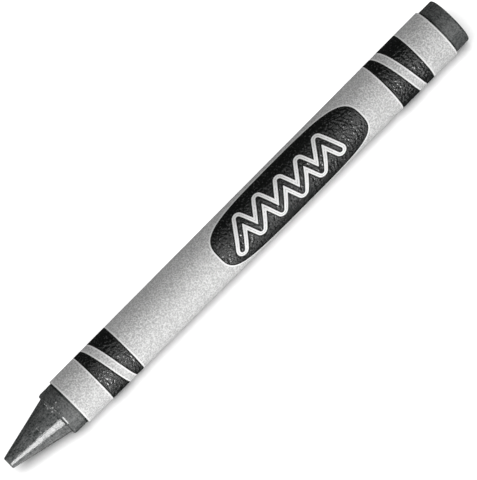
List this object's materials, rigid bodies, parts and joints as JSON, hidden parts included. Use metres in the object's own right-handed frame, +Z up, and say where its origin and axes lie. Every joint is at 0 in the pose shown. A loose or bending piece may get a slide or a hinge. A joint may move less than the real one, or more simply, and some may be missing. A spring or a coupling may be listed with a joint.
{
  "type": "crayon",
  "caption": "Wax drawing crayon with a conical tip, wrapped in a paper label printed with dark bands and an oval panel.",
  "frame": {"origin": "under the middle of the crayon's length, on the surface that the label lies on", "axes": "+X along the crayon from the tip to the butt, +Z up; the printed panel faces up and towards -Y"},
  "size_m": [0.0922, 0.0086, 0.0085],
  "materials": {
    "wax": "smooth wax with a soft sheen",
    "paper": "matte, uncoated and slightly fibrous",
    "paste": "dry starch paste",
    "ink": "matte printing ink"
  },
  "bodies": {
    "root": {"wax_stick": "wax", "paste_film": "paste", "paper_label": "paper", "front_band_ink": "ink", "rear_band_ink": "ink", "panel_ink": "ink", "scribble_ink": "ink"}
  },
  "joints": []
}
